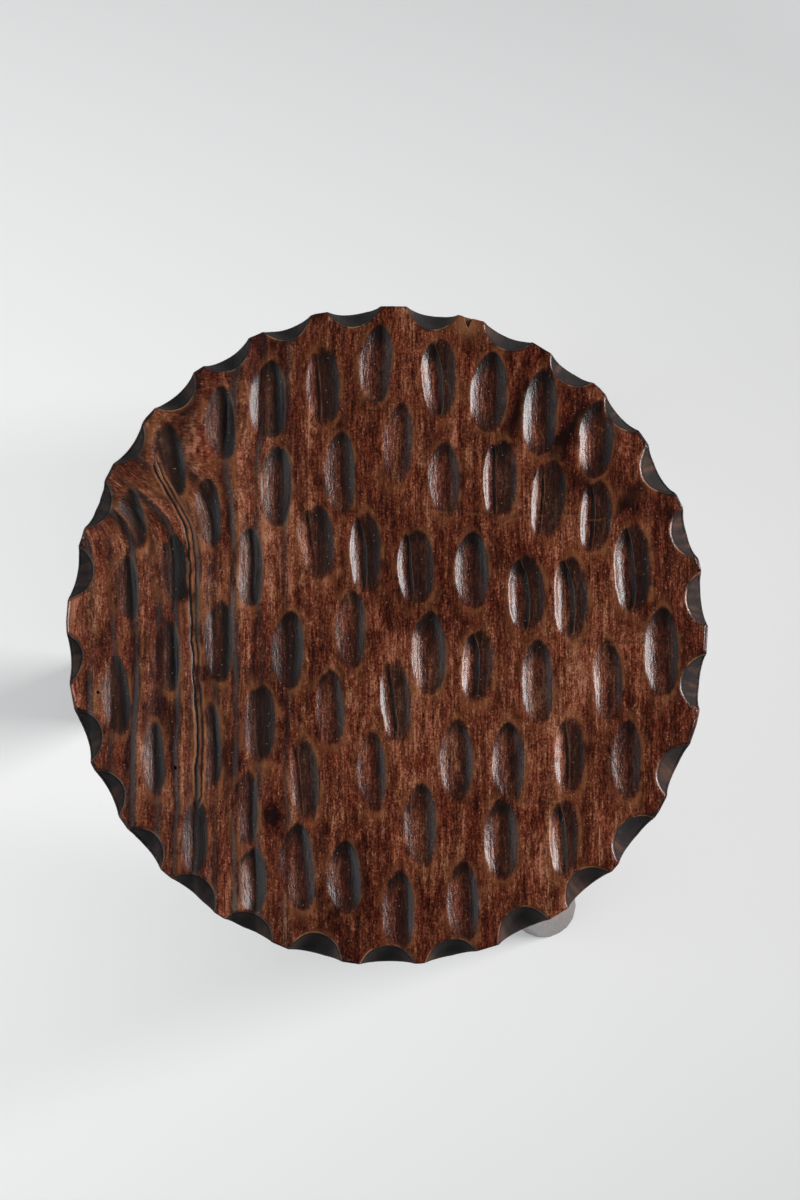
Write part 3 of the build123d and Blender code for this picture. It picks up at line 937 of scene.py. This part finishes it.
def leg_blank(name, bearing, apart):
    """A leg before it is shaved: level rings up to the shoulder, then the tenon."""
    foot, across, along, up_leg = leg_line(bearing)
    run = SEAT_UNDERSIDE / up_leg.z
    turns = np.arange(LEG_COLUMNS) * math.tau / LEG_COLUMNS
    square = np.outer(np.cos(turns), across) + np.outer(np.sin(turns), along)
    level = square - np.outer(square[:, 2] / up_leg.z, up_leg)

    # Rings: how far up the leg, the spokes, the radius, and how much of it the drawknife takes.
    rings = []
    eased = [(FOOT_EASING * (1 - math.cos(a)), FOOT_EASING * (1 - math.sin(a))) for a in (0, 0.5, 1, 1.57)]
    for height, inset in eased + [(h, 0) for h in np.linspace(FIRST_ROW, SEAT_UNDERSIDE, LEG_ROWS)]:
        radius = np.interp(height / SEAT_UNDERSIDE, *LEG_TAPER) * MM
        rings.append((height / up_leg.z, level, radius, radius - inset, 1))
    rings.append((run, level, TENON_RADIUS, TENON_RADIUS, 0))
    rings.append((run + TENON_LENGTH, square, TENON_RADIUS, TENON_RADIUS, 0))

    points = [np.array(foot + up_leg * far) + spokes * reach for far, spokes, _, reach, _ in rings]
    grain = [
        np.column_stack((np.cos(turns) * radius, np.full(LEG_COLUMNS, far + apart), np.sin(turns) * radius))
        for far, _, radius, _, _ in rings
    ]
    number = np.arange(len(rings) * LEG_COLUMNS).reshape(len(rings), -1)
    low, high = number[:-1], number[1:]
    faces = np.stack((low, np.roll(low, -1, 1), np.roll(high, -1, 1), high), -1).reshape(-1, 4).tolist()
    mesh = new_mesh(name, np.vstack(points), faces + [number[0, ::-1].tolist(), number[-1].tolist()])
    up = np.repeat([far for far, *_ in rings], LEG_COLUMNS)
    radii = np.repeat([radius for _, _, radius, _, _ in rings], LEG_COLUMNS)
    put_on(mesh, {"far": up, "turn": np.tile(turns, len(rings)), "radius": radii})
    put_on(mesh, {"stain": np.interp(up, *FOOT_DARKENING)})
    put_on(mesh, dict.fromkeys(("hollow", "scallop"), np.full(number.size, NO_CUT)))
    put_on(mesh, dict.fromkeys(("off_crack", "off_ridge", "off_tide"), np.ones(number.size)))
    spoke = [spokes * shaved for _, spokes, _, _, shaved in rings]
    for label, numbers in {"spoke": spoke, "grain": grain}.items():
        kept = mesh.attributes.new(label, "FLOAT_VECTOR", "POINT").data
        kept.foreach_set("vector", np.vstack(numbers).ravel())
    return mesh


# How far round a leg a flat still cuts, as a cosine, how softly it meets the next, and how it wavers.
FLAT_REACH = 0.35
FLAT_SOFTNESS = 0.4 * MM
WAVERS_PER_METRE = 9


def shaving_tree():
    """Shaves a leg: each long flat is a stroke of the drawknife that wavers on its way up the leg."""
    takes = {"Kerf": "Object", "Flats": "Int", "Bite": "Float", "Waver": "Float", "Seed": "Int"}
    tree, inputs = geometry_tree("shave_leg", takes | {"Up the leg": "Vector", "Wood": "Material"})
    radius = stored(tree, "radius")
    flats = inputs["Flats"]

    def shave(geometry, stroke):
        def chance(offset):
            draws = {"ID": stroke, "Seed": inputs["Seed"] + offset}
            return made(tree, "FunctionNodeRandomValue", draws, 1)

        facing = (stroke + chance(0) * 0.5) * math.tau / flats
        seen_from = (stored(tree, "turn") - facing).math("COSINE").math("MAXIMUM", FLAT_REACH)
        place = join(tree, stored(tree, "far"), stroke * 3, inputs["Seed"])
        waver = noise(tree, place, WAVERS_PER_METRE, 2.0) * inputs["Waver"]
        bite = chance(9) * inputs["Bite"] + waver.math("ABSOLUTE")
        flat = radius * (flats.math("POWER", -1) * math.pi).math("COSINE") - bite
        reach = stored(tree, "reach").math("SMOOTH_MIN", flat / seen_from, FLAT_SOFTNESS)
        return store(tree, geometry, {"reach": reach})

    whole = store(tree, inputs["Geometry"], {"reach": radius})
    shaved = repeated(tree, flats, whole, shave)
    cut = vectors(tree, "SCALE", stored_vector(tree, "spoke"), Scale=stored(tree, "reach") - radius)
    shaved = made(tree, "GeometryNodeSetPosition", {"Geometry": shaved, "Offset": cut})
    shaved = mark_end_grain(tree, shaved, inputs["Up the leg"])
    finish_tree(tree, hollowed(tree, shaved, inputs["Kerf"]), inputs["Wood"])
    return tree


leg_wood = stained_wood("stained_leg")
shave_leg = shaving_tree()
for seed, (place, bearing) in enumerate(LEG_BEARINGS.items()):
    foot, across, along, up_leg = leg_line(bearing)
    tenon_end = foot + up_leg * (SEAT_UNDERSIDE / up_leg.z + TENON_LENGTH)
    side = across * (TENON_RADIUS + MM)
    outline = [tenon_end - side + (along * x + up_leg * y) * MM for x, y in KERF]
    kerf = prism("kerf", [outline], [side * 2])
    sizes = {"Flats": 19, "Bite": 0.25 * MM, "Waver": 0.4 * MM, "Seed": seed, "Up the leg": up_leg}
    pole = leg_blank("pole", bearing, 30 * (seed + 1))
    leg = bake("shaved_leg_" + place, pole, shave_leg, sizes | {"Kerf": kerf, "Wood": leg_wood})
    bpy.data.objects.remove(kerf)
    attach(leg, "root")
    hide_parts("leg_" + place)

# Fox wedges: split from dry hardwood and left bare. They are sealed in the sockets, and their solids
# have the right shape, so only their finish is given here.
SPLIT_TONES = [(0.36, 0.22, 0.11, 1), (0.62, 0.45, 0.27, 1)]
bare_wood, tree, shader = new_material("bare_wedge")
shader.inputs["Roughness"].default_value = 0.75
x, y, z = split(tree, tree.nodes.new("ShaderNodeTexCoord").outputs["Object"])
split_grain = noise(tree, join(tree, x, y, z * 0.1), 900, 4.0)
rays = noise(tree, join(tree, x, y * 0.2, z * 0.2), 2500, 1.0).between(0.4, 0.9)
ramp = add_node(tree, "ShaderNodeValToRGB", {"Fac": split_grain * 0.35 - rays * 0.2 + 0.5})
for stop, color in zip(ramp.color_ramp.elements, SPLIT_TONES):
    stop.color = color
feed(shader.inputs["Base Color"], ramp.outputs[0])
bump = {"Height": split_grain, "Distance": 0.1 * MM, "Strength": 1.0}
feed(shader.inputs["Normal"], made(tree, "ShaderNodeBump", bump))
for place in LEG_BEARINGS:
    for wedge_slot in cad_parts["wedge_" + place].material_slots:
        wedge_slot.material = bare_wood

# Floor, light and camera: a pale floor under a large soft window on the right. The floor darkens a
# little away from the stool, and a quarter of what is seen of it is its own colour glowing, with
# painted light that makes it brightest towards the left.
PLAIN_SHARE = 0.25
FLOOR_COLOR = (0.745, 0.738, 0.733)
FLOOR_EDGE = 4
DARKENING = (1.4, 0.58)
paint, tree, diffuse = new_material("pale_floor")
diffuse.inputs["Roughness"].default_value = 0.9
x, y, z = split(tree, tree.nodes.new("ShaderNodeTexCoord").outputs["Object"])
around = (x.squared() + y.squared()).root().between(*DARKENING) * 0.5 + 0.5
pale = vectors(tree, "SCALE", FLOOR_COLOR, Scale=around)
feed(diffuse.inputs["Base Color"], pale)
# painted light: the floor's glow is brightest towards the left and falls off towards its far and near parts
painted_floor_light = 1.78 - x * 1.75 - y * 0.5 - y.squared() * 3.3
painted_floor_light = painted_floor_light.math("MAXIMUM", 0.4).math("MINIMUM", 2.5)
glow = made(tree, "ShaderNodeEmission", {"Color": pale, "Strength": painted_floor_light})
path = tree.nodes.new("ShaderNodeLightPath").outputs
seen = Field(path["Is Camera Ray"]) + Field(path["Is Glossy Ray"]) + Field(path["Is Transmission Ray"])
mix = {"Fac": seen * PLAIN_SHARE, 1: diffuse.outputs[0], 2: glow}
feed(tree.nodes["Material Output"].inputs["Surface"], made(tree, "ShaderNodeMixShader", mix))
corners = [(x * FLOOR_EDGE, y * FLOOR_EDGE, 0) for x, y in ((-1, -1), (1, -1), (1, 1), (-1, 1))]
floor = add_object("floor", new_mesh("floor", corners, [(0, 1, 2, 3)]))
floor.data.materials.append(paint)


def softbox(name, place, aim, width, height, strength):
    """A rectangular lamp at a place, turned to face a point."""
    lamp = bpy.data.lights.new(name, "AREA")
    lamp.shape = "RECTANGLE"
    lamp.size = width
    lamp.size_y = height
    lamp.energy = strength
    facing = (Vector(place) - Vector(aim)).to_track_quat("Z", "Y").to_matrix().to_4x4()
    add_object(name, lamp).matrix_world = Matrix.Translation(place) @ facing


SEAT_HEIGHT = (0, 0, 0.4)
softbox("window", (5.0, 1.0, 2.85), SEAT_HEIGHT, 2.8, 2.1, 480)
softbox("wall", (-2.2, -0.6, 1.3), SEAT_HEIGHT, 2.6, 1.6, 14)

# The room: pale round the horizon, most of all on the far side, with a blue-grey wall on the left.
world = bpy.data.worlds.new("room")
bpy.context.scene.world = world
world.use_nodes = True
tree = world.node_tree
x, y, z = split(tree, tree.nodes.new("ShaderNodeTexCoord").outputs["Generated"])
horizon = 1 - z.between(0.1, 0.75)
left_side = x.between(-0.35, -0.6)
far_side = y.between(-0.5, 0.4) * 0.5 + 0.1
background = tree.nodes["Background"]
feed(background.inputs["Color"], join(tree, 0.9 - left_side * 0.18, 0.95 - left_side * 0.05, 1.0))
feed(background.inputs["Strength"], (horizon * far_side).math("MAXIMUM", left_side * 0.55) + 0.05)

# The camera hangs about a metre over the seat and a little to its near side, and looks almost down.
camera = add_object("camera", bpy.data.cameras.new("camera"))
camera.data.lens = 60
camera.data.sensor_width = 36
camera_place = TOP_MIDDLE + Vector((-0.005, -0.0638, 0.998))
looks_at = TOP_MIDDLE + Vector((0.0062, 0.0156, 0))
forward = (looks_at - camera_place).normalized()
right = forward.cross(Vector((0, 1, 0))).normalized()
turn = Matrix((right, right.cross(forward), -forward)).transposed()
camera.matrix_world = Matrix.Translation(camera_place) @ turn.to_4x4()
bpy.context.scene.camera = camera
bpy.context.scene.view_settings.view_transform = "Standard"
